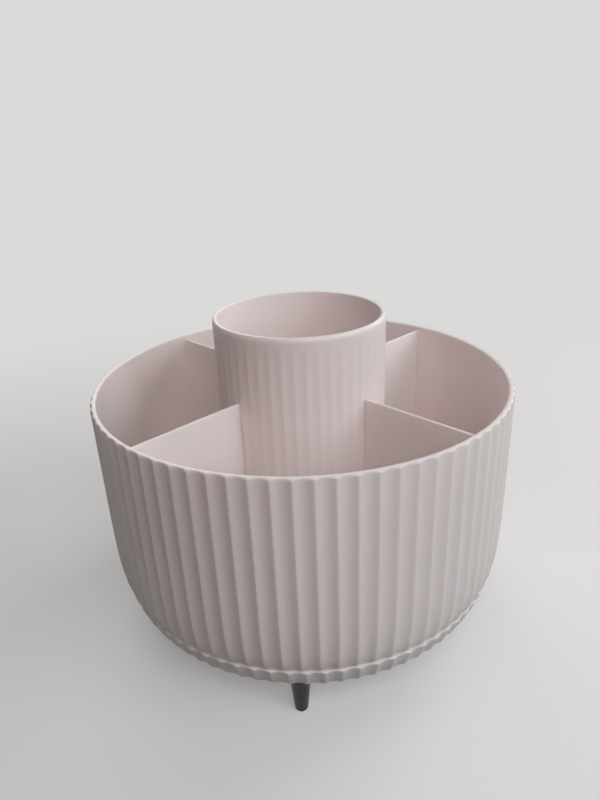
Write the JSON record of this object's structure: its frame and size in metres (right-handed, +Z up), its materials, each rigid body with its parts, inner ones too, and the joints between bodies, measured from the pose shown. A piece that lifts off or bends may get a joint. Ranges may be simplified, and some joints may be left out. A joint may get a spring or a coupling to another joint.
{
  "type": "rotating desk organizer",
  "caption": "Round desk organizer: a fluted bowl with radial dividers and a taller centre cup, turning on a ball ring over a footed fluted base.",
  "frame": {"origin": "on the desk, under the axis that the bowl turns about", "axes": "+Z up along that axis; the front of the organizer faces -Y and +X is to its right"},
  "size_m": [0.1898, 0.1898, 0.15],
  "materials": {
    "blush_plastic": "satin-gloss moulded plastic, pale blush pink",
    "black_plastic": "satin black moulded plastic",
    "pad_rubber": "matt black rubber",
    "plated_steel": "zinc-plated steel",
    "white_acetal": "natural white acetal"
  },
  "bodies": {
    "base": {"base_dish": "blush_plastic", "foot_screws": "plated_steel", "lower_race": "plated_steel", "pivot_bush": "white_acetal", "hub_cap": "blush_plastic", "foot_1": "black_plastic", "foot_2": "black_plastic", "foot_3": "black_plastic", "foot_4": "black_plastic", "foot_pad_1": "pad_rubber", "foot_pad_2": "pad_rubber", "foot_pad_3": "pad_rubber", "foot_pad_4": "pad_rubber"},
    "bowl": {"bowl": "blush_plastic", "cup": "blush_plastic", "upper_race": "plated_steel", "pivot_washer": "plated_steel", "pivot_screw": "plated_steel"},
    "ball_ring": {"ball_cage": "white_acetal", "bearing_balls": "plated_steel"}
  },
  "joints": [
    {"name": "bowl_spin", "type": "hinge", "parent": "base", "child": "bowl", "pos_m": [0, 0, 0.0315], "axis": [0, 0, 1], "continuous": true},
    {"name": "ball_ring_spin", "type": "hinge", "parent": "base", "child": "ball_ring", "pos_m": [0, 0, 0.0273], "axis": [0, 0, 1], "continuous": true}
  ],
  "couplings": [
    {"joint": "ball_ring_spin", "follows": "bowl_spin", "ratio": 0.5}
  ]
}
